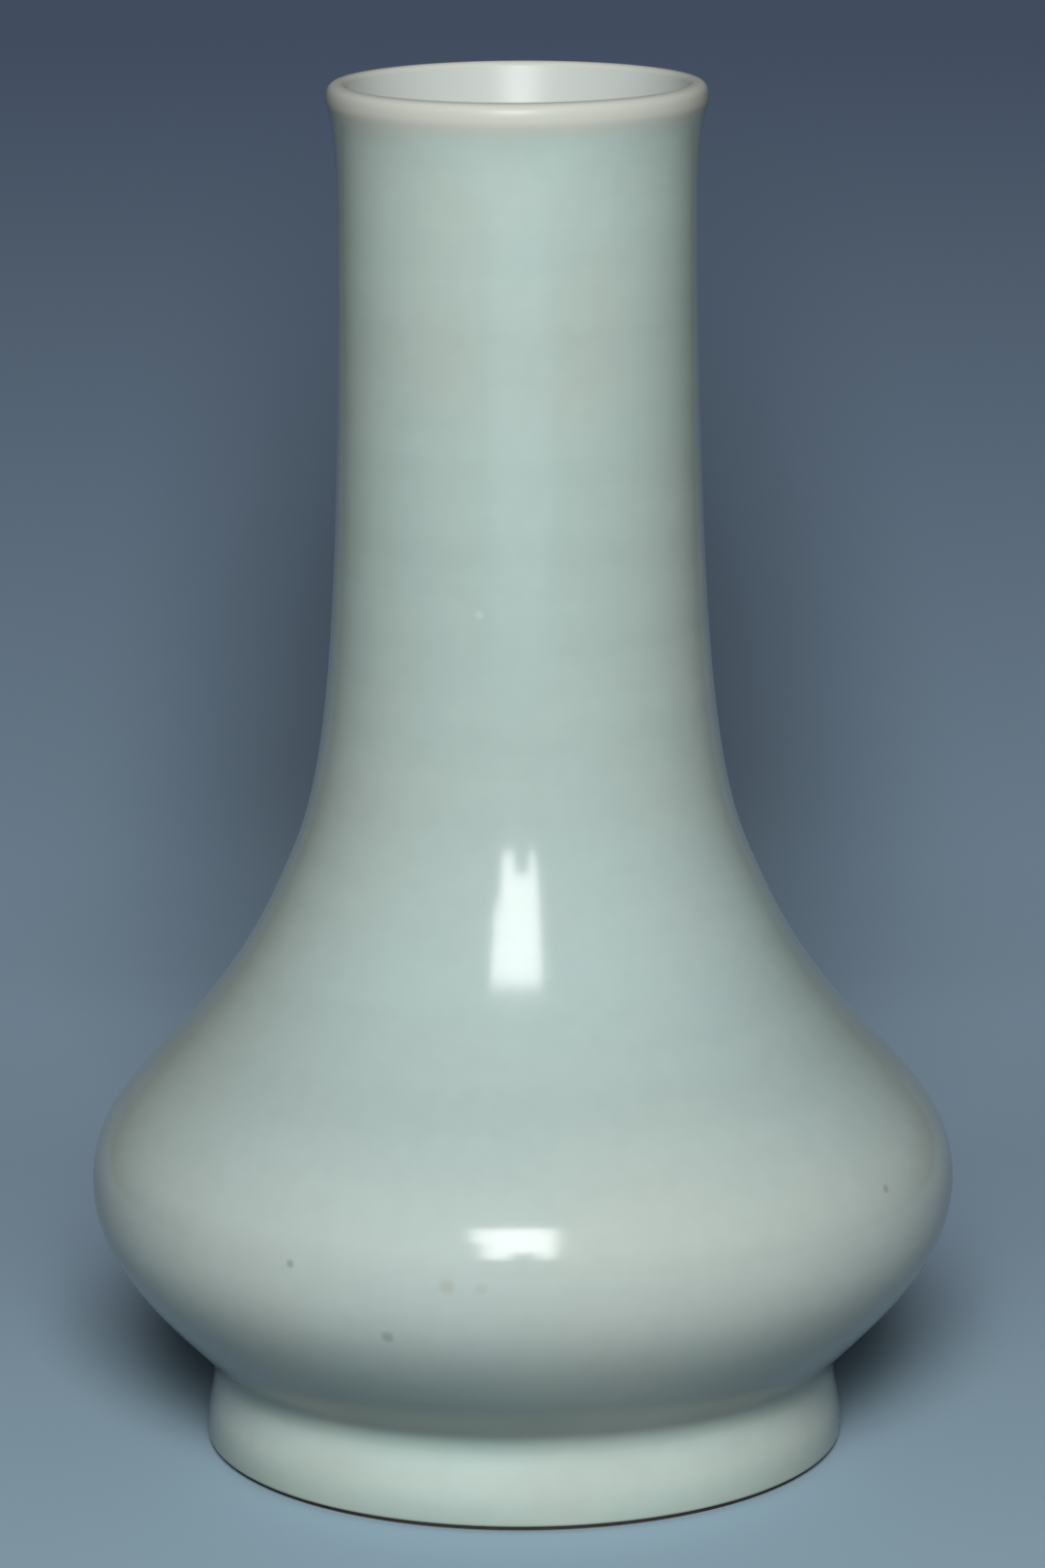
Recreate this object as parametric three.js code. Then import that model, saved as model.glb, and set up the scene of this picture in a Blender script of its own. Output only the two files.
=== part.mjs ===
// A celadon bottle vase, standing on its foot: a tall straight neck with a small flared lip,
// a sloping shoulder, a squat round belly and a wide, low foot ring.
// Millimetres, +Z up, the origin at the middle of the foot's bearing edge.
import * as THREE from "three";

// Overall
const HEIGHT = 250;

// Foot ring, outside and underneath
const FOOT_BEARING_RADIUS = 57.4;
const FOOT_RADIUS = 58.4;
const FOOT_RADIUS_HEIGHT = 1.5;
const CREASE_RADIUS = 57.0;
const CREASE_HEIGHT = 16.3;
const FOOT_WELL_RADIUS = 49.5;
const FOOT_BEVEL = 1.2;

// Body, from the crease over the foot to the shoulder
const UNDERSIDE_SLOPE = THREE.MathUtils.degToRad(44.7);
const BELLY_RADIUS = 78.8;
const BELLY_HEIGHT = 49.7;
const SHOULDER_RADIUS = 44.2;
const SHOULDER_HEIGHT = 104.4;
const SHOULDER_SLOPE = THREE.MathUtils.degToRad(24);

// Neck and lip
const NECK_RADIUS = 32.2;
const NECK_WAIST_HEIGHT = 230;
const LIP_RADIUS = 33.95;
const LIP_DROP = 3;
const LIP_TOP_RADIUS = 31.6;
const MOUTH_ROLL = 1.2;
const MOUTH_SLOPE = THREE.MathUtils.degToRad(18);
const MOUTH_FLARE = 14;

// How far each curve of the outline holds its direction before it bends
const UNDERSIDE_PULL = 18;
const BELLY_PULL_DOWN = 12.3;
const BELLY_PULL_UP = 18;
const SHOULDER_PULL_DOWN = 34.3;
const SHOULDER_PULL_UP = 15.5;
const NECK_PULL_DOWN = 103.5;
const NECK_PULL_UP = 14;
const LIP_PULL = 2;
const MOUTH_PULL_DOWN = 5;
const MOUTH_PULL_UP = 8;

// Walls and floor, glaze included
const NECK_WALL = 5;
const BODY_WALL = 7;
const WALL_THIN_HEIGHT = 135;
const FLOOR = 8.5;
const FLOOR_BOWL_RISE = 14;
const FLOOR_PULL = 36;
const BOWL_PULL = 7.7;

// Glaze, the joins between the thrown sections, and the unglazed edge of the foot
const GLAZE = 0.6;
const BOND = 0.15;
const SLIP = 0.5;
const FOOT_BARE_EDGE = 0.9;
const BODY_SEAM_HEIGHT = 74;
const NECK_SEAM_HEIGHT = 97;
const WELL_FILLET = 3;

// Facets round the axis, and how near to a cut a point of an outline may lie without making a sliver
const SEGMENTS = 36;
const SLIVER = 0.25;

const point = (radius, height) => new THREE.Vector2(radius, height);

// Points along a chain of curves, each shared end kept once.
const chain = (pieces) => pieces.flatMap(([curve, steps], index) => {
  const points = curve.getPoints(steps);
  return index === 0 ? points : points.slice(1);
});

// The outline moved sideways by a constant or varying distance, to the right of its own direction,
// so that each stretch stays parallel to itself. Points on the axis stay on it.
const offset = (outline, distance) => outline.map((at, index) => {
  const before = outline[Math.max(index - 1, 0)];
  const after = outline[Math.min(index + 1, outline.length - 1)];
  const first = at.clone().sub(before);
  const second = after.clone().sub(at);
  const along = [first, second].filter((step) => step.length() > 0).map((step) => step.normalize());
  const sides = along.map((step) => point(step.y, -step.x));
  const middle = sides.reduce((sum, side) => sum.add(side), point(0, 0)).normalize();
  const reach = (typeof distance === "function" ? distance(at.y) : distance) / middle.dot(sides[0]);
  const moved = at.clone().addScaledVector(middle, reach);
  return at.x === 0 ? point(0, moved.y) : moved;
});

// The radius of an outline where it first passes a height
const radiusAt = (outline, height) => {
  const next = Math.max(outline.findIndex((at) => at.y >= height), 1);
  const [under, over] = [outline[next - 1], outline[next]];
  return THREE.MathUtils.mapLinear(height, under.y, over.y, under.x, over.x);
};

// The part of a rising outline above a height, below one, or between two, ending exactly there
const above = (outline, low) => [
  point(radiusAt(outline, low), low),
  ...outline.slice(outline.findIndex((at) => at.y > low + SLIVER)),
];
const below = (outline, high) => [
  ...outline.filter((at) => at.y < high - SLIVER),
  point(radiusAt(outline, high), high),
];
const between = (outline, low, high) => below(above(outline, low), high);

// The glazed outside, from the ground up to the widest circle of the lip
const lipEdge = point(LIP_RADIUS, HEIGHT - LIP_DROP);
const mouth = point(
  LIP_TOP_RADIUS - MOUTH_ROLL * Math.cos(MOUTH_SLOPE),
  HEIGHT - MOUTH_ROLL * (1 - Math.sin(MOUTH_SLOPE)));
const mouthDirection = point(Math.sin(MOUTH_SLOPE), Math.cos(MOUTH_SLOPE));
const shoulder = point(SHOULDER_RADIUS, SHOULDER_HEIGHT);
const shoulderDirection = point(-Math.sin(SHOULDER_SLOPE), Math.cos(SHOULDER_SLOPE));
const crease = point(CREASE_RADIUS, CREASE_HEIGHT);
const footWaist = (CREASE_HEIGHT - FOOT_RADIUS_HEIGHT) / 2;

const footOutside = [
  [new THREE.QuadraticBezierCurve(
    point(FOOT_BEARING_RADIUS, 0),
    point(FOOT_RADIUS, FOOT_RADIUS_HEIGHT / 3),
    point(FOOT_RADIUS, FOOT_RADIUS_HEIGHT)), 3],
  [new THREE.CubicBezierCurve(
    point(FOOT_RADIUS, FOOT_RADIUS_HEIGHT),
    point(FOOT_RADIUS, FOOT_RADIUS_HEIGHT + footWaist),
    point(CREASE_RADIUS, CREASE_HEIGHT - footWaist),
    crease), 3],
];
const bodyOutside = [
  [new THREE.CubicBezierCurve(
    crease,
    point(crease.x + UNDERSIDE_PULL * Math.cos(UNDERSIDE_SLOPE), crease.y + UNDERSIDE_PULL * Math.sin(UNDERSIDE_SLOPE)),
    point(BELLY_RADIUS, BELLY_HEIGHT - BELLY_PULL_DOWN),
    point(BELLY_RADIUS, BELLY_HEIGHT)), 7],
  [new THREE.CubicBezierCurve(
    point(BELLY_RADIUS, BELLY_HEIGHT),
    point(BELLY_RADIUS, BELLY_HEIGHT + BELLY_PULL_UP),
    shoulder.clone().addScaledVector(shoulderDirection, -SHOULDER_PULL_DOWN),
    shoulder), 8],
  [new THREE.CubicBezierCurve(
    shoulder,
    shoulder.clone().addScaledVector(shoulderDirection, SHOULDER_PULL_UP),
    point(NECK_RADIUS, NECK_WAIST_HEIGHT - NECK_PULL_DOWN),
    point(NECK_RADIUS, NECK_WAIST_HEIGHT)), 8],
  [new THREE.CubicBezierCurve(
    point(NECK_RADIUS, NECK_WAIST_HEIGHT),
    point(NECK_RADIUS, NECK_WAIST_HEIGHT + NECK_PULL_UP),
    point(lipEdge.x, lipEdge.y - LIP_PULL),
    lipEdge), 4],
];

// The lip, round outside up to its top, and round into the mouth
const lipRoll = [
  [new THREE.EllipseCurve(LIP_TOP_RADIUS, lipEdge.y, LIP_RADIUS - LIP_TOP_RADIUS, LIP_DROP, 0, Math.PI / 2), 4],
  [new THREE.EllipseCurve(
    LIP_TOP_RADIUS, HEIGHT - MOUTH_ROLL, MOUTH_ROLL, MOUTH_ROLL, Math.PI / 2, Math.PI - MOUTH_SLOPE), 2],
];

const outside = chain([...footOutside, ...bodyOutside]);
const overLip = chain(lipRoll);

// The glazed inside: a shallow bowl for the floor, then the outside drawn in by the wall, then the mouth
const wallAt = (height) => -THREE.MathUtils.lerp(
  BODY_WALL, NECK_WALL, THREE.MathUtils.smoothstep(height, BELLY_HEIGHT, WALL_THIN_HEIGHT));
const baseHeight = CREASE_HEIGHT + SLIP;
const floorHeight = baseHeight + FLOOR;
const boreTop = mouth.y - MOUTH_FLARE;
const wallInside = between(offset(outside, wallAt), floorHeight + FLOOR_BOWL_RISE, boreTop);
const bowlEdge = wallInside[0];
const wallStart = wallInside[1].clone().sub(bowlEdge).normalize();
const inside = chain([
  [new THREE.CubicBezierCurve(
    point(0, floorHeight),
    point(FLOOR_PULL, floorHeight),
    bowlEdge.clone().addScaledVector(wallStart, -BOWL_PULL),
    bowlEdge), 6],
]).concat(wallInside.slice(1), chain([
  [new THREE.CubicBezierCurve(
    wallInside.at(-1),
    point(wallInside.at(-1).x, boreTop + MOUTH_PULL_DOWN),
    mouth.clone().addScaledVector(mouthDirection, -MOUTH_PULL_UP),
    mouth), 4],
]).slice(1));

// An outline that ends level in the mouth, moved into the wall and still ending level
const intoWall = (outline, distance, depth) => [
  ...offset(outline, distance).slice(0, -1),
  point(mouth.x + depth, mouth.y),
];

// The clay under the glaze, on both faces of the wall
const glazedOutside = [...outside, ...overLip.slice(1)];
const clayOutside = intoWall(glazedOutside, -(GLAZE + BOND), GLAZE + BOND);
const clayLipTop = clayOutside.reduce((top, at, index) => (at.y > clayOutside[top].y ? index : top), 0);
const clayWall = clayOutside.slice(0, clayLipTop + 1);
const clayMouth = clayOutside.slice(clayLipTop + 1, -1).reverse();
const clayInside = [...intoWall(inside, GLAZE + BOND, GLAZE + BOND), ...clayMouth];

// A solid of revolution whose section is bounded outside by one outline and inside by another,
// both rising. A section that reaches the axis ends there.
const turned = (name, outer, inner, colour, roughness) => {
  const section = [...outer, ...inner.slice().reverse()];
  if (section[0].x > 0 || section.at(-1).x > 0) section.push(section[0].clone());
  const geometry = new THREE.LatheGeometry(section, SEGMENTS);
  geometry.rotateX(Math.PI / 2);
  const material = new THREE.MeshStandardMaterial({ color: colour, roughness, metalness: 0 });
  const mesh = new THREE.Mesh(geometry, material);
  mesh.name = name;
  return mesh;
};

// Colours
const GLAZE_COLOUR = "#b3c6bf";
const GLAZE_THIN_COLOUR = "#c0c6b9";
const CLAY_COLOUR = "#cdc7ba";
const SLIP_COLOUR = "#bfb7a8";
const FOOT_COLOUR = "#6b5a4d";

const vase = new THREE.Group();

// The foot ring, with a flat bearing edge, bare as far as the glaze, and a flat top that carries the body.
vase.add(turned("foot_ring",
  [point(FOOT_BEARING_RADIUS, 0), ...between(clayWall, FOOT_BARE_EDGE, CREASE_HEIGHT)],
  [
    point(FOOT_WELL_RADIUS + FOOT_BEVEL, 0),
    point(FOOT_WELL_RADIUS, FOOT_BEVEL),
    point(FOOT_WELL_RADIUS, CREASE_HEIGHT),
  ],
  FOOT_COLOUR, 0.8));

// Slip that lutes the body to the foot ring.
vase.add(turned("foot_slip",
  between(clayWall, CREASE_HEIGHT, baseHeight),
  [point(FOOT_WELL_RADIUS, CREASE_HEIGHT), point(FOOT_WELL_RADIUS, baseHeight)],
  SLIP_COLOUR, 0.8));

// The lower body, thrown as a deep bowl with a thick floor and a rim that turns in.
vase.add(turned("lower_body",
  [point(0, baseHeight), ...between(clayWall, baseHeight, BODY_SEAM_HEIGHT)],
  below(clayInside, BODY_SEAM_HEIGHT),
  CLAY_COLOUR, 0.8));

// Slip at the seam round the upper belly.
vase.add(turned("belly_slip",
  between(clayWall, BODY_SEAM_HEIGHT, BODY_SEAM_HEIGHT + SLIP),
  between(clayInside, BODY_SEAM_HEIGHT, BODY_SEAM_HEIGHT + SLIP),
  SLIP_COLOUR, 0.8));

// The shoulder, thrown as a ring and luted on top of the lower body.
vase.add(turned("shoulder",
  between(clayWall, BODY_SEAM_HEIGHT + SLIP, NECK_SEAM_HEIGHT),
  between(clayInside, BODY_SEAM_HEIGHT + SLIP, NECK_SEAM_HEIGHT),
  CLAY_COLOUR, 0.8));

// Slip at the seam under the neck.
vase.add(turned("neck_slip",
  between(clayWall, NECK_SEAM_HEIGHT, NECK_SEAM_HEIGHT + SLIP),
  between(clayInside, NECK_SEAM_HEIGHT, NECK_SEAM_HEIGHT + SLIP),
  SLIP_COLOUR, 0.8));

// The neck, a long tube that opens downwards into the shoulder and flares to the lip.
const neckStart = NECK_SEAM_HEIGHT + SLIP;
vase.add(turned("neck",
  above(clayWall, neckStart),
  above(clayInside, neckStart),
  CLAY_COLOUR, 0.8));

// The glaze outside, from just above the bearing edge, over the lip and into the mouth.
vase.add(turned("outer_glaze",
  above(glazedOutside, FOOT_BARE_EDGE),
  above(intoWall(glazedOutside, -GLAZE, GLAZE), FOOT_BARE_EDGE),
  GLAZE_COLOUR, 0.15));

// The glaze inside, from the mouth down the neck and over the floor.
vase.add(turned("inner_glaze",
  intoWall(inside, GLAZE, GLAZE),
  inside,
  GLAZE_THIN_COLOUR, 0.15));

// The glaze in the well of the foot, over the underside of the body and the ring's inner wall.
const wellRadius = FOOT_WELL_RADIUS - BOND;
const wellTop = baseHeight - BOND;
const wellEdge = FOOT_BEVEL + FOOT_BARE_EDGE;
const filletCentre = point(wellRadius - GLAZE - WELL_FILLET, wellTop - GLAZE - WELL_FILLET);
const wellFillet = new THREE.EllipseCurve(filletCentre.x, filletCentre.y, WELL_FILLET, WELL_FILLET, Math.PI / 2, 0, true);
vase.add(turned("foot_well_glaze",
  [
    point(0, filletCentre.y + WELL_FILLET),
    ...wellFillet.getPoints(3),
    point(wellRadius - GLAZE, wellEdge),
    point(wellRadius, wellEdge),
  ],
  [point(0, wellTop), point(wellRadius, wellTop)],
  GLAZE_COLOUR, 0.15));

export default vase;
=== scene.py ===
"""A celadon bottle vase on a plain pale sweep, under one large soft box."""
import math
import bpy
import numpy as np
from mathutils import Matrix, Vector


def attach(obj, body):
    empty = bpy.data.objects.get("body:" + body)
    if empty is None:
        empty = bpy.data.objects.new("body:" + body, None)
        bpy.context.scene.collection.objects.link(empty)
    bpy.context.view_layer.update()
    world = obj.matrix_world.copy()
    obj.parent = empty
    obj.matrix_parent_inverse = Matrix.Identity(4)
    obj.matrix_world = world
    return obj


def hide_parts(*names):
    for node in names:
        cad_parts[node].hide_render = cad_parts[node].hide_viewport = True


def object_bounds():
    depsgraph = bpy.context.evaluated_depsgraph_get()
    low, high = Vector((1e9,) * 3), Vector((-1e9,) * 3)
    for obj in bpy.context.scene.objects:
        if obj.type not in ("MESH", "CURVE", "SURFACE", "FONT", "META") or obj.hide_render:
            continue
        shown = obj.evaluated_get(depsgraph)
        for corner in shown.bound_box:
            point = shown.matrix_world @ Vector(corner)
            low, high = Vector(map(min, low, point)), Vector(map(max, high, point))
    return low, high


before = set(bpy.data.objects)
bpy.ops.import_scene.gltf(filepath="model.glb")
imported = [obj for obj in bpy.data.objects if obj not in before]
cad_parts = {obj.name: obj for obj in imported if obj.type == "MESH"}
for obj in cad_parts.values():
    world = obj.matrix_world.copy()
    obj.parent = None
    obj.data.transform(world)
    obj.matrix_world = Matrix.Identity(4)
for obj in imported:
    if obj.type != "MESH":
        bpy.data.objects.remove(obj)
cad_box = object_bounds()
scene = bpy.context.scene
scene.view_settings.view_transform = "Standard"

# The camera, on a tripod in front of the vase and a little above its mouth, with a long lens.
# It stands 1.18 m off and looks down by 12.8 degrees, tilted a hair out of level.
camera_aside = 0.0003
camera_distance = 1.1752
camera_height = 0.3888
camera_pitch = 12.77
camera_roll = -0.3
camera = bpy.data.objects.new("camera", bpy.data.cameras.new("camera"))
scene.collection.objects.link(camera)
camera.matrix_world = (Matrix.Translation((camera_aside, -camera_distance, camera_height))
                       @ Matrix.Rotation(math.radians(90 - camera_pitch), 4, "X")
                       @ Matrix.Rotation(math.radians(camera_roll), 4, "Z"))
camera.data.lens = 152.66
camera.data.sensor_width = 36
camera.data.clip_start = 0.05
scene.camera = camera


# The sweep: a sheet of pale blue-grey paper that lies flat under the vase and rises behind it in a wide
# curve to a wall.
def linear(hex_colour):
    """An sRGB colour such as "b3c6bf" as the linear values with alpha that shaders take."""
    parts = np.array([int(hex_colour[i:i + 2], 16) for i in (0, 2, 4)]) / 255
    low, high = parts / 12.92, ((parts + 0.055) / 1.055) ** 2.4
    return (*np.where(parts <= 0.04045, low, high).tolist(), 1.0)


def node(tree, kind, settings=(), **inputs):
    """A shader node of a kind, with settings on the node and a value or a link on each input named here. An
    underscore stands for a space, and i with a number for the input in that place."""
    new = tree.nodes.new(kind)
    for key, value in dict(settings).items():
        setattr(new, key, value)
    for key, value in inputs.items():
        by_place = key[0] == "i" and key[1:].isdigit()
        socket = new.inputs[int(key[1:]) if by_place else key.replace("_", " ")]
        if isinstance(value, bpy.types.NodeSocket):
            tree.links.new(value, socket)
        else:
            socket.default_value = value
    return new


def colour_steps(tree, value, start, end, steps):
    """A colour that follows a value: each step is a value and the colour there, blended evenly between."""
    place = node(tree, "ShaderNodeMapRange", Value=value, From_Min=start, From_Max=end)
    ramp = node(tree, "ShaderNodeValToRGB", Fac=place.outputs[0])
    stops = ramp.color_ramp.elements
    while len(stops) < len(steps):
        stops.new(1.0)
    for stop, (level, hex_colour) in zip(stops, steps):
        stop.position = (level - start) / (end - start)
        stop.color = linear(hex_colour)
    return ramp.outputs["Color"]


sweep_front = -2.2
sweep_curve_start = 0.35
sweep_curve_radius = 1.5
sweep_top = 2.6
sweep_width = 1.0
turn = np.linspace(0, np.pi / 2, 48)
sweep_line = np.concatenate([
    [[sweep_front, 0.0]],
    np.stack([sweep_curve_start + sweep_curve_radius * np.sin(turn),
              sweep_curve_radius * (1 - np.cos(turn))], axis=1),
    [[sweep_curve_start + sweep_curve_radius, sweep_top]]])
across = np.array([-sweep_width / 2, sweep_width / 2])
sweep_points = np.stack([
    np.tile(across, len(sweep_line)),
    np.repeat(sweep_line[:, 0], 2),
    np.repeat(sweep_line[:, 1], 2)], axis=1)
strips = [(2 * i, 2 * i + 1, 2 * i + 3, 2 * i + 2) for i in range(len(sweep_line) - 1)]
sweep_mesh = bpy.data.meshes.new("sweep")
sweep_mesh.from_pydata(sweep_points.tolist(), [], strips)
sweep_mesh.shade_smooth()
sweep = bpy.data.objects.new("sweep", sweep_mesh)
scene.collection.objects.link(sweep)

# The paper is matt and pale where it is looked at, straight or in a reflection. Its colour is painted darker
# the farther it lies behind the vase, fading to slate where it rises, a painted shade of the light falling
# off, and a soft dark patch behind the vase is a painted shadow of the vase. What it throws back on the vase
# is darker, so that the vase keeps a dark underside.
paper = bpy.data.materials.new("matte_paper_sweep")
paper.use_nodes = True
tree = paper.node_tree
surface = tree.nodes["Principled BSDF"]
ray = node(tree, "ShaderNodeLightPath").outputs
seen = ray["Is Camera Ray"]
for other_ray in ("Is Glossy Ray", "Is Transmission Ray"):
    seen = node(tree, "ShaderNodeMath", {"operation": "MAXIMUM"}, i0=seen, i1=ray[other_ray]).outputs[0]
place = node(tree, "ShaderNodeTexCoord").outputs["Object"]
place = node(tree, "ShaderNodeSeparateXYZ", Vector=place).outputs
behind = place["Y"]
aside = node(tree, "ShaderNodeMath", {"operation": "ABSOLUTE"}, i0=place["X"]).outputs[0]
# Painted shade: the paper's colour steps darker with distance behind the vase, as the light falls off.
painted_shade = colour_steps(tree, behind, 0.0, 1.0, [
    (0.02, "a0bbcb"), (0.12, "99b0c4"), (0.18, "99b0c4"), (0.3, "a5bed4"), (0.44, "a3bdd4"),
    (1.0, "65768f")])
# Painted shadow of the vase: a soft patch behind it, up to 0.66 darker, fading out sideways past 0.12 m and
# in depth before 0.26 m and past 1.0 m.
painted_shadow = 0.66
for value, shadow_edge, shadow_full in ((aside, 0.12, 0.02), (behind, 0.26, 0.54), (behind, 1.0, 0.6)):
    fade = node(tree, "ShaderNodeMapRange", {"interpolation_type": "SMOOTHSTEP"}, Value=value,
                From_Min=shadow_edge, From_Max=shadow_full)
    painted_shadow = node(tree, "ShaderNodeMath", {"operation": "MULTIPLY"}, i0=fade.outputs[0], i1=painted_shadow).outputs[0]
painted_shade = node(tree, "ShaderNodeMix", {"data_type": "RGBA"}, i0=painted_shadow, i6=painted_shade,
             i7=linear("000000")).outputs[2]
colour = node(tree, "ShaderNodeMix", {"data_type": "RGBA"}, i0=seen, i6=linear("444f57"), i7=painted_shade)
tree.links.new(colour.outputs[2], surface.inputs["Base Color"])
surface.inputs["Roughness"].default_value = 0.9
surface.inputs["Specular IOR Level"].default_value = 0.2
sweep_mesh.materials.append(paper)

# The light: one large soft box in front, above and a little to the left, in a dim even room. Its lower edge
# has a notch in the middle and it is wider at the top left, so it is four panels edge to edge in one plane.
# More than half of its light is polarised and leaves no reflection on the glaze.
world = bpy.data.worlds.new("room")
scene.world = world
world.use_nodes = True
world.node_tree.nodes["Background"].inputs["Color"].default_value = linear("aebcc6")
world.node_tree.nodes["Background"].inputs["Strength"].default_value = 0.03
vase_middle = 0.09


def light_panel(name, direction, rise, distance, edges, radiance):
    """A flat area light that faces the middle of the vase. Its plane's foot point lies at the distance, at
    the direction in degrees from the front and the rise in degrees above the level. edges are its left,
    right, bottom and top in metres from that point, and its power is radiance times pi times its area."""
    left, right, bottom, top = edges
    panel = bpy.data.objects.new(name, bpy.data.lights.new(name, "AREA"))
    scene.collection.objects.link(panel)
    panel.data.shape = "RECTANGLE"
    panel.data.size = right - left
    panel.data.size_y = top - bottom
    panel.data.energy = radiance * math.pi * (right - left) * (top - bottom)
    panel.matrix_world = (Matrix.Translation((0, 0, vase_middle))
                          @ Matrix.Rotation(math.radians(direction), 4, "Z")
                          @ Matrix.Rotation(math.radians(90 - rise), 4, "X")
                          @ Matrix.Translation(((left + right) / 2, (bottom + top) / 2, distance)))
    return panel


for name, edges in {
        "soft_box_top": (-0.34, 0.36, -0.27, 0.51), "soft_box_top_left": (-0.43, -0.34, 0.05, 0.51),
        "soft_box_lower_left": (-0.34, -0.07, -0.51, -0.27),
        "soft_box_lower_right": (0.21, 0.36, -0.51, -0.27)}.items():
    light_panel(name, direction=-1.5, rise=30, distance=2.3, edges=edges, radiance=11.0)
polarised = light_panel("soft_box_polarised", direction=2.0, rise=30, distance=2.3,
                        edges=(-0.37, 0.37, -0.4, 0.51), radiance=14.5)
polarised.visible_glossy = False


# The foot ring: stoneware, turned on the wheel when leather-hard, with a bevelled inner edge. It is bare
# for the lowest millimetre, where the glaze was wiped off before firing. The bare clay flashed brown and is
# painted darker still, a painted shade for the dark line under the foot.
def bezier(points, steps):
    """Points on a cubic curve at even steps of its parameter t: the four given points weighted by (1-t)^3,
    3t(1-t)^2, 3t^2(1-t) and t^3, and added."""
    t = np.linspace(0, 1, steps + 1)[:, None]
    p = np.array(points, dtype=float)
    return (1 - t) ** 3 * p[0] + 3 * t * (1 - t) ** 2 * p[1] + 3 * t ** 2 * (1 - t) * p[2] + t ** 3 * p[3]


def arc(centre, radius, start, end, steps):
    """Points on a circle: centre plus radius times (cos a, sin a), a from start to end in degrees, measured
    from the outward direction towards the upward one. Two radii, outward and upward, give an ellipse."""
    a = np.radians(np.linspace(start, end, steps + 1))[:, None]
    return np.array(centre) + radius * np.hstack([np.cos(a), np.sin(a)])


def join(*curves):
    """Curves end to end, each shared end kept once."""
    return np.concatenate([curves[0]] + [curve[1:] for curve in curves[1:]])


def lathe(name, profile, turns=256):
    """A mesh object from a closed section turned round the Z axis: point (i, j) lies at radius r_i and
    height z_i in the direction 2 pi j / turns. profile is an n by 2 array of r and z in millimetres, going
    up outside and down inside; a row at radius zero becomes one pole point. Edges that turn by more than 50
    degrees stay crisp."""
    r, z = (profile * 0.001).T
    angle = np.arange(turns) * (2 * np.pi / turns)
    pole = r < 1e-9
    count = np.where(pole, 1, turns)
    first = np.cumsum(count) - count
    rings = np.stack([
        np.outer(r, np.cos(angle)), np.outer(r, np.sin(angle)), np.outer(z, np.ones(turns))], axis=2)
    points = np.concatenate([ring[:size] for ring, size in zip(rings, count)])
    j = np.arange(turns)
    k = (j + 1) % turns
    faces = []
    for a, b in zip(range(len(r)), np.roll(np.arange(len(r)), -1)):
        low = [first[a] + (0 if pole[a] else j), first[a] + (0 if pole[a] else k)]
        high = [first[b] + (0 if pole[b] else k), first[b] + (0 if pole[b] else j)]
        corners = low[:1 if pole[a] else 2] + high[:1 if pole[b] else 2]
        if len(corners) > 2:
            faces += np.stack([np.broadcast_to(corner, turns) for corner in corners], axis=1).tolist()
    mesh = bpy.data.meshes.new(name)
    mesh.from_pydata(points.tolist(), [], faces)
    mesh.shade_smooth()
    mesh.set_sharp_from_angle(angle=math.radians(50))
    piece = bpy.data.objects.new(name, mesh)
    scene.collection.objects.link(piece)
    return piece


def stoneware(name, colour, dark, grain_mm=0.7, cloud_mm=18):
    """Bare fired stoneware. It came off the wheel and out of the kiln unpolished, so it is dry and matt,
    with a fine sandy grain. The grain is drawn somewhat coarser than the real 0.2 mm, so that it shows."""
    material = bpy.data.materials.new(name)
    material.use_nodes = True
    tree = material.node_tree
    surface = tree.nodes["Principled BSDF"]
    place = node(tree, "ShaderNodeTexCoord").outputs["Object"]
    grain = node(tree, "ShaderNodeTexNoise", Vector=place, Scale=1000 / grain_mm, Detail=3.0)
    cloud = node(tree, "ShaderNodeTexNoise", Vector=place, Scale=1000 / cloud_mm, Detail=2.0)
    speckle = node(tree, "ShaderNodeMix", {"data_type": "RGBA"}, i0=grain.outputs["Fac"], i6=linear(colour),
                   i7=linear(dark))
    flashed = node(tree, "ShaderNodeMix", {"data_type": "RGBA", "blend_type": "MULTIPLY"}, i0=0.35,
                   i6=speckle.outputs[2], i7=cloud.outputs["Color"])
    bump = node(tree, "ShaderNodeBump", Strength=0.35, Distance=0.0002, Height=grain.outputs["Fac"])
    tree.links.new(flashed.outputs[2], surface.inputs["Base Color"])
    tree.links.new(bump.outputs["Normal"], surface.inputs["Normal"])
    surface.inputs["Roughness"].default_value = 0.8
    return material


foot_bearing = 57.4
foot_radius = 58.4
foot_radius_height = 1.5
crease = np.array([57.0, 16.3])
well_radius = 49.5
foot_bevel = 1.2
bare_edge = 0.9
under_glaze = 0.75
foot_waist = (crease[1] - foot_radius_height) / 2
foot_outside = join(
    bezier([(foot_bearing, 0), (foot_bearing + 0.67, 0.33), (foot_radius, 0.83),
            (foot_radius, foot_radius_height)], 10),
    bezier([(foot_radius, foot_radius_height), (foot_radius, foot_radius_height + foot_waist),
            (crease[0], crease[1] - foot_waist), crease], 14))
foot_wall = foot_outside[foot_outside[:, 1] > bare_edge] - [under_glaze, 0]
edge_roll = 0.3
foot_ring = lathe("foot_ring_turned", np.concatenate([
    arc((foot_bearing - edge_roll, edge_roll), edge_roll, -90, 0, 4),
    foot_wall,
    [(well_radius, crease[1]), (well_radius, foot_bevel + edge_roll)],
    bezier([(well_radius, foot_bevel), (well_radius, foot_bevel / 2), (well_radius + foot_bevel / 2, 0),
            (well_radius + foot_bevel, 0)], 4)]))
# The bare clay's colours are drawn darker than fired clay: brown flashing plus painted shade for the dark
# line under the foot.
foot_ring.data.materials.append(stoneware("bare_stoneware_flashed_painted_shade", "6b5a4d", "463a33"))
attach(foot_ring, "root")
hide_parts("foot_ring")

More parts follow.
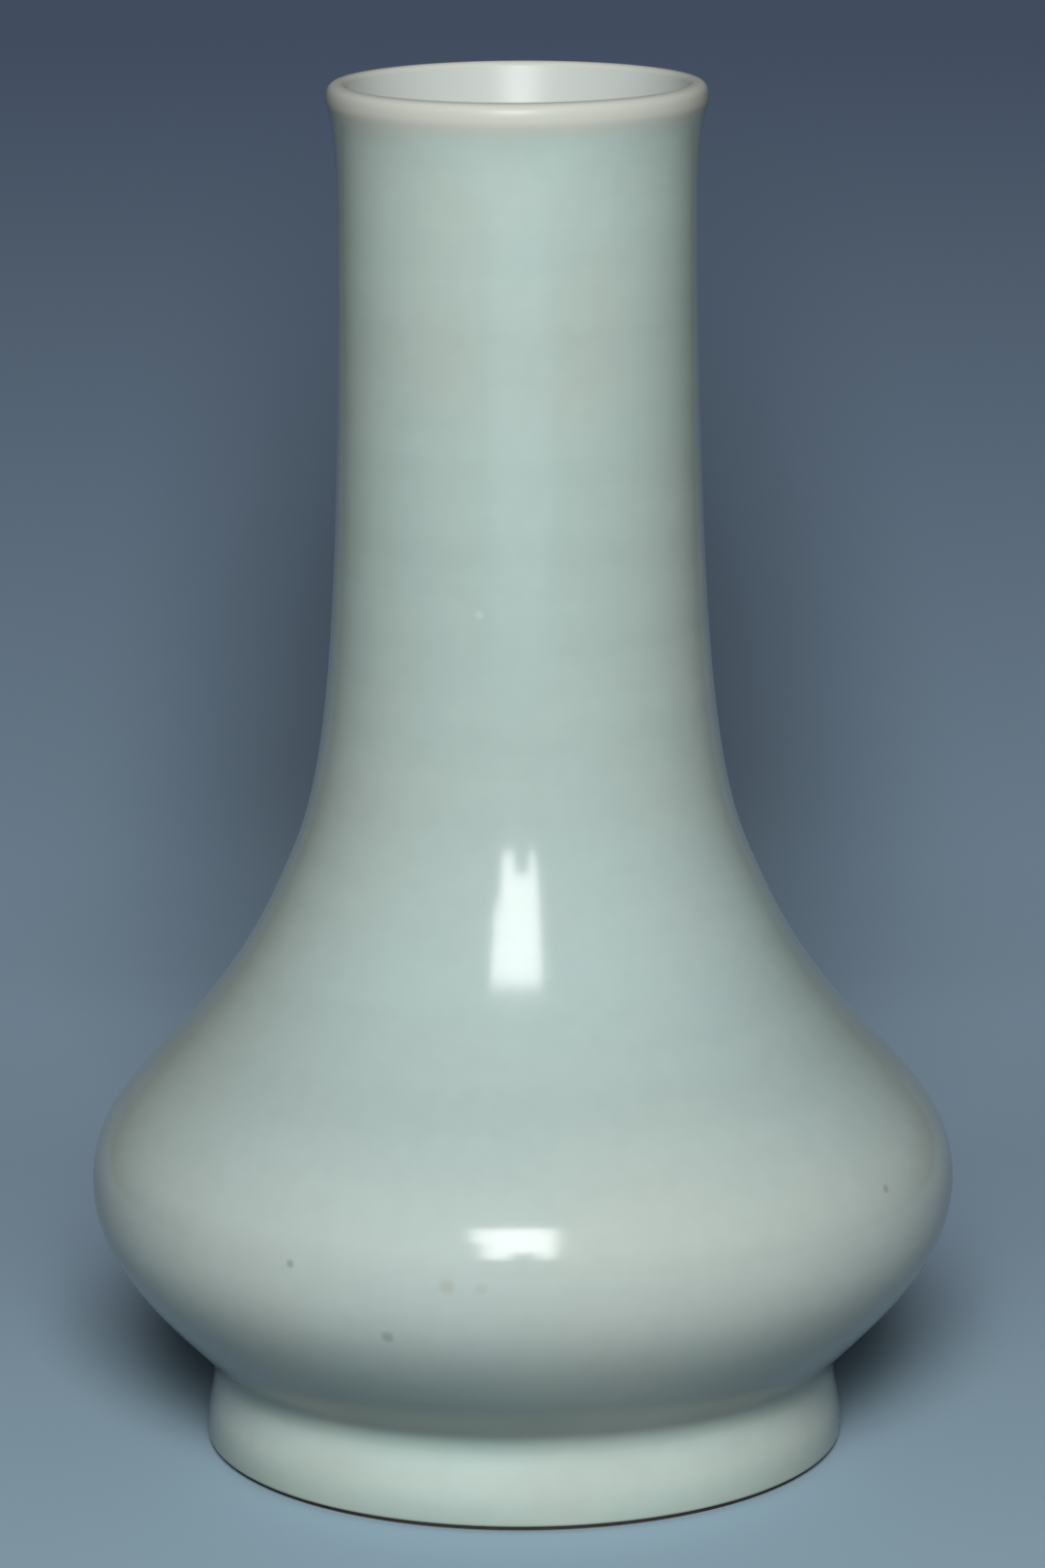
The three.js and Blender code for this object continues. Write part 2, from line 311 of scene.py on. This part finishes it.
# The thrown sections and the slip between them: the lower body, the shoulder and the neck were thrown one
# by one from the same pale clay, then stuck together with wet slip. All of it lies under the glaze.
pale_clay = stoneware("pale_stoneware_thrown", "cdc7ba", "b9b2a4")
luting_slip = stoneware("luting_slip_fired", "bfb7a8", "a9a192")
for name, finish in {
        "lower_body": pale_clay, "shoulder": pale_clay, "neck": pale_clay,
        "foot_slip": luting_slip, "belly_slip": luting_slip, "neck_slip": luting_slip}.items():
    section_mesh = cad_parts[name].data
    section_mesh.materials.clear()
    section_mesh.materials.append(finish)


# The glaze outside: celadon, fired without air, which turns its trace of iron pale blue-green. The vase was
# dipped, so the coat is 0.6 mm thick. It ran thin and cream over the lip and pooled in the crease.
def moved(line, distance):
    """A line of points shifted to the right of its own direction by distance: the unit tangent (dr, dz)
    turned to (dz, -dr), times distance, added. Points on the axis stay on it."""
    step = np.gradient(line, axis=0)
    step /= np.linalg.norm(step, axis=1, keepdims=True)
    out = line + np.stack([step[:, 1], -step[:, 0]], axis=1) * np.reshape(distance, (-1, 1))
    out[line[:, 0] < 1e-9, 0] = 0
    return out


glaze_thickness = 0.6
underside_pull = 18.0
belly_pull_down = 12.3
belly_pull_up = 18.0
shoulder_pull_down = 34.3
shoulder_pull_up = 15.5
neck_pull_down = 103.5
neck_pull_up = 14.0
lip_pull = 2.0
crown_rise = 1.75
crown_reach = 2.0
under_slope = math.radians(44.7)
underside = np.array([math.cos(under_slope), math.sin(under_slope)])
belly = np.array([78.8, 49.7])
shoulder_slope = math.radians(24)
shoulder = np.array([44.2, 104.4])
rise = np.array([-math.sin(shoulder_slope), math.cos(shoulder_slope)])
neck_waist = np.array([32.2, 230.0])
lip_top = np.array([31.6, cad_box[1][2] * 1000])
lip_edge = np.array([33.95, lip_top[1] - 3])
mouth_roll = 1.2
mouth_slope = 18
up = np.array([0, 1])

body_line = join(
    bezier([crease, crease + underside_pull * underside, belly - belly_pull_down * up, belly], 40),
    bezier([belly, belly + belly_pull_up * up, shoulder - shoulder_pull_down * rise, shoulder], 44),
    bezier([shoulder, shoulder + shoulder_pull_up * rise, neck_waist - neck_pull_down * up, neck_waist], 50),
    bezier([neck_waist, neck_waist + neck_pull_up * up, lip_edge - lip_pull * up, lip_edge], 16))
over_lip = join(
    bezier([lip_edge, lip_edge + crown_rise * up, lip_top + [crown_reach, 0], lip_top], 20),
    arc(lip_top - mouth_roll * up, mouth_roll, 90, 180 - mouth_slope, 10))
pooled = 2.4
pool_pull = 0.6
foot_side = foot_outside[foot_outside[:, 1] < crease[1] - pooled]
body_side = body_line[np.linalg.norm(body_line - crease, axis=1) > pooled]
pool = bezier([foot_side[-1], foot_side[-1] + pool_pull * (crease - foot_side[-1]),
               body_side[0] + pool_pull * (crease - body_side[0]), body_side[0]], 10)
outside = join(foot_side, pool, body_side, over_lip)
outside = outside[outside[:, 1] > bare_edge + 0.3]
glaze_edge = bezier([(foot_radius - under_glaze, bare_edge), (foot_radius - 0.35, bare_edge - 0.1),
                     (foot_radius - 0.1, bare_edge + 0.1), outside[0]], 5)
glaze_back = moved(outside, -glaze_thickness)[::-4]
outer_glaze = lathe("outer_glaze_dipped", np.concatenate([glaze_edge[:-1], outside, glaze_back]))
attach(outer_glaze, "root")
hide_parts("outer_glaze")


def celadon(name, tones, warm, thin, thin_from, thin_to, spots=()):
    """Celadon glaze: a glassy, slightly cloudy coat, dipped and fired in a smoky kiln. Its surface is smooth
    and glossy with a faint orange peel. Its colour follows the tones, each a height in millimetres and a
    colour, drifts to warmer in soft clouds some 60 mm across, and is barely streaked round the vase where it
    filled the throwing rings, 3 to 12 mm apart. It goes cream where it ran thin, from one height to the
    other, and there it is drier, so that highlights turn soft. Each spot is a direction, a height, a
    distance from the axis, a size, a colour and a strength."""
    material = bpy.data.materials.new(name)
    material.use_nodes = True
    tree = material.node_tree
    surface = tree.nodes["Principled BSDF"]
    place = node(tree, "ShaderNodeTexCoord").outputs["Object"]
    height = node(tree, "ShaderNodeSeparateXYZ", Vector=place).outputs["Z"]
    height_mm = node(tree, "ShaderNodeMath", {"operation": "MULTIPLY"}, i0=height, i1=1000.0).outputs[0]

    cloud_mm = 60
    ring_mm = 12
    mottle_mm = 4
    run_mm = 25
    waver = 0.004
    peel_mm = 7
    tone = colour_steps(tree, height_mm, 0.0, 250.0, tones)
    cloud = node(tree, "ShaderNodeTexNoise", Vector=place, Scale=1000 / cloud_mm, Detail=3.0, Roughness=0.5)
    drift = node(tree, "ShaderNodeMapRange", {"interpolation_type": "SMOOTHSTEP"},
                 Value=cloud.outputs["Fac"], From_Min=0.42, From_Max=0.68, To_Max=0.5)
    tone = node(tree, "ShaderNodeMix", {"data_type": "RGBA"}, i0=drift.outputs[0], i6=tone,
                i7=linear(warm)).outputs[2]

    flat = node(tree, "ShaderNodeMapping", Vector=place, Scale=(0.06, 0.06, 1.0))
    rings = node(tree, "ShaderNodeTexNoise", Vector=flat.outputs[0], Scale=1000 / ring_mm, Detail=3.0,
                 Roughness=0.55)
    mottle = node(tree, "ShaderNodeTexNoise", Vector=place, Scale=1000 / mottle_mm, Detail=2.0)
    streak = node(tree, "ShaderNodeMapRange", Value=rings.outputs["Fac"], From_Min=0.3, From_Max=0.7,
                  To_Min=0.965, To_Max=1.03)
    grain = node(tree, "ShaderNodeMapRange", Value=mottle.outputs["Fac"], From_Min=0.3, From_Max=0.7,
                 To_Min=0.985, To_Max=1.015)
    depth = node(tree, "ShaderNodeMath", {"operation": "MULTIPLY"}, i0=streak.outputs[0],
                 i1=grain.outputs[0])
    tone = node(tree, "ShaderNodeVectorMath", {"operation": "SCALE"}, Vector=tone,
                Scale=depth.outputs[0]).outputs[0]

    run = node(tree, "ShaderNodeTexNoise", Vector=place, Scale=1000 / run_mm, Detail=2.0)
    edge = node(tree, "ShaderNodeMath", {"operation": "MULTIPLY_ADD"}, i0=run.outputs["Fac"], i1=waver,
                i2=height)
    thinning = node(tree, "ShaderNodeMapRange", {"interpolation_type": "SMOOTHSTEP"}, Value=edge.outputs[0],
                    From_Min=thin_from * 0.001 + waver / 2, From_Max=thin_to * 0.001 + waver / 2)
    tone = node(tree, "ShaderNodeMix", {"data_type": "RGBA"}, i0=thinning.outputs[0], i6=tone,
                i7=linear(thin)).outputs[2]
    for direction, level, radius, size, spot_colour, strength in spots:
        a = math.radians(direction)
        centre = (0.001 * radius * math.sin(a), -0.001 * radius * math.cos(a), 0.001 * level)
        away = node(tree, "ShaderNodeVectorMath", {"operation": "DISTANCE"}, i0=place, i1=centre)
        mark = node(tree, "ShaderNodeMapRange", {"interpolation_type": "SMOOTHSTEP"},
                    Value=away.outputs["Value"], From_Min=0.0007 * size, From_Max=0.0002 * size,
                    To_Max=strength)
        tone = node(tree, "ShaderNodeMix", {"data_type": "RGBA"}, i0=mark.outputs[0], i6=tone,
                    i7=linear(spot_colour)).outputs[2]
    peel = node(tree, "ShaderNodeTexNoise", Vector=place, Scale=1000 / peel_mm, Detail=1.0)
    bump = node(tree, "ShaderNodeBump", Strength=0.06, Distance=0.0004, Height=peel.outputs["Fac"])
    tree.links.new(tone, surface.inputs["Base Color"])
    tree.links.new(bump.outputs["Normal"], surface.inputs["Normal"])
    dryness = node(tree, "ShaderNodeMapRange", Value=thinning.outputs[0], To_Min=0.14, To_Max=0.34)
    tree.links.new(dryness.outputs[0], surface.inputs["Roughness"])
    surface.inputs["IOR"].default_value = 1.5
    return material


iron = "4a4a42"
brown = "94806e"
# The outer glaze's tones by height carry painted light and shade: lighter in the middle of the foot's wall
# around 8 to 12 mm, darker at its bottom edge where the wall turns under, and darkest in a band under the
# belly from 15 to 34 mm, painted shade where the belly turns down to the crease.
outer_glaze.data.materials.append(celadon(
    "celadon_glaze_dipped",
    [(1, "a9bdb2"), (4.5, "b8ccc4"), (8, "c5d6cd"), (12, "c5d8d1"), (15.5, "adc4bb"), (18, "8f9f9c"),
     (27, "9db2ad"), (34, "b2c5c0"), (45, "bdccc7"), (60, "bac9c4"), (75, "afc1bd"), (100, "b1c5c1"),
     (140, "b1c4be"), (215, "b3c7c0"), (242, "b8ccc5")],
    "bbc5bc", "cacdc3", 242.0, 247.5,
    spots=[(-17.8, 41.0, 77.2, 2.4, iron, 0.3), (-31.0, 52.5, 78.6, 1.5, iron, 0.32),
           (-9.6, 51.3, 78.7, 2.8, brown, 0.22), (-5.3, 51.2, 78.8, 2.3, brown, 0.13),
           (56.6, 58.2, 77.0, 1.6, brown, 0.45), (-12.3, 160.3, 33.6, 1.6, "dfe7e0", 0.25),
           (140.0, 62.0, 75.5, 1.5, iron, 0.35), (-110.0, 36.0, 73.9, 1.5, brown, 0.5),
           (171.0, 118.0, 39.1, 1.4, iron, 0.35), (95.0, 183.0, 32.6, 1.2, brown, 0.4)]))

# The glaze inside: the same celadon, poured in and out before the outside was dipped. It is as thick, covers
# the floor and the wall, and thins out where it meets the outer coat inside the lip.
neck_wall = 5.0
body_wall = 7.0
wall_thin_height = 135.0
slip_bed = 0.5
floor_thickness = 8.5
floor_level = crease[1] + slip_bed + floor_thickness
bowl_rise = 14.0
floor_pull = 36.0
bowl_pull = 7.7
mouth_flare = 14.0
mouth_pull_down = 5.0
mouth_pull_up = 8.0
fade = np.clip((outside[:, 1] - belly[1]) / (wall_thin_height - belly[1]), 0, 1)
wall = body_wall + (neck_wall - body_wall) * fade ** 2 * (3 - 2 * fade)
drawn_in = moved(outside, -wall)
mouth = over_lip[-1]
mouth_rise = np.array([math.sin(math.radians(mouth_slope)), math.cos(math.radians(mouth_slope))])
body_part = (outside[:, 1] > crease[1] + 8) & (outside[:, 1] < lip_edge[1])
body_part &= (drawn_in[:, 1] > floor_level + bowl_rise) & (drawn_in[:, 1] < mouth[1] - mouth_flare)
wall_inside = drawn_in[body_part]
bowl_edge = wall_inside[0]
bowl_start = wall_inside[1] - bowl_edge
bowl_start /= np.linalg.norm(bowl_start)
inside = join(
    bezier([(0, floor_level), (floor_pull, floor_level), bowl_edge - bowl_pull * bowl_start, bowl_edge], 24),
    wall_inside,
    bezier([wall_inside[-1], wall_inside[-1] + mouth_pull_down * up, mouth - mouth_pull_up * mouth_rise,
            mouth], 20))
thinning_depth = 7.0
thinnest = 0.04
below_mouth = np.clip((mouth[1] - inside[:, 1]) / thinning_depth, 0, 1)
poured = thinnest + (glaze_thickness - thinnest) * below_mouth ** 2 * (3 - 2 * below_mouth)
inner_glaze = lathe("inner_glaze_poured", np.concatenate([moved(inside, poured), inside[::-1]]), 192)
inner_glaze.data.materials.append(celadon(
    "celadon_glaze_poured", [(0, "b3c5be"), (250, "b6c6be")], "bbc3b9", "c5cbc6", 234.0, 243.0))
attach(inner_glaze, "root")
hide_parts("inner_glaze")

# The glaze in the foot's well: the same celadon, brushed over the underside of the body and down the inner
# wall of the ring, with a soft fillet in the corner. It stops short of the bevel, which was wiped.
bond = 0.15
well_fillet = 3.0
well_wall = well_radius - bond
well_top = crease[1] + slip_bed - bond
well_edge = foot_bevel + bare_edge
fillet_centre = (well_wall - glaze_thickness - well_fillet, well_top - glaze_thickness - well_fillet)
well_skin = np.concatenate([
    [(0, well_top - glaze_thickness)],
    arc(fillet_centre, well_fillet, 90, 0, 10),
    bezier([(well_wall - glaze_thickness, well_edge + 0.5), (well_wall - glaze_thickness, well_edge),
            (well_wall - 0.3, well_edge), (well_wall, well_edge)], 5),
    [(well_wall, well_top), (0, well_top)]])
well_glaze = lathe("foot_well_glaze_brushed", well_skin, 192)
well_glaze.data.materials.append(celadon(
    "celadon_glaze_under_base", [(0, "b1c5bf"), (250, "b1c5bf")], "bcc3b9", "c8c6ba", 300.0, 301.0))
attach(well_glaze, "root")
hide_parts("foot_well_glaze")
